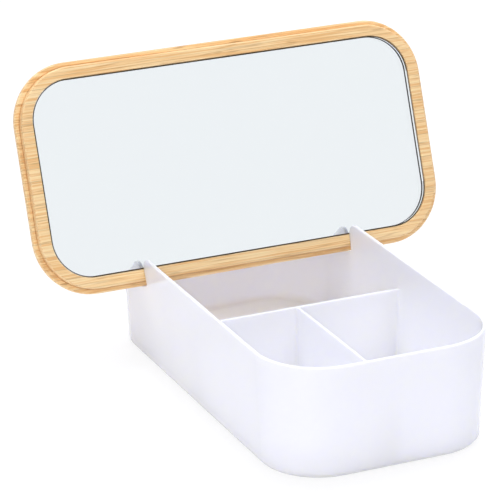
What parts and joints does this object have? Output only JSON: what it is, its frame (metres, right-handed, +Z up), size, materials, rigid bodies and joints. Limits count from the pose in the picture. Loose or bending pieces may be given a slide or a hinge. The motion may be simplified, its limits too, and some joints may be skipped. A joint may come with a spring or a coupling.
{
  "type": "vanity box with mirror",
  "caption": "Rounded open storage tub with fixed dividers and a lift-off wooden lid whose inset mirror stands upright, leaning back in two slanted wall slots.",
  "frame": {"origin": "middle of the tub's underside, on the surface it stands on", "axes": "+Z up, +Y to the rear, where the lid stands, +X to the right of someone who faces the mirror"},
  "size_m": [0.24, 0.24, 0.1611],
  "materials": {
    "moulded_plastic": "white, soft gloss",
    "bamboo": "laminated bamboo, clear satin lacquer",
    "mirror": "silvered glass",
    "tape": "white foam tape"
  },
  "bodies": {
    "tub": {"box": "moulded_plastic"},
    "lid": {"lid_board": "bamboo", "mirror_glass": "mirror", "mirror_tape": "tape"}
  },
  "joints": [
    {"name": "lid_lift", "type": "slide", "parent": "tub", "child": "lid", "axis": [0, 0.3502, 0.9367], "range_m": [0, 0.03]}
  ]
}
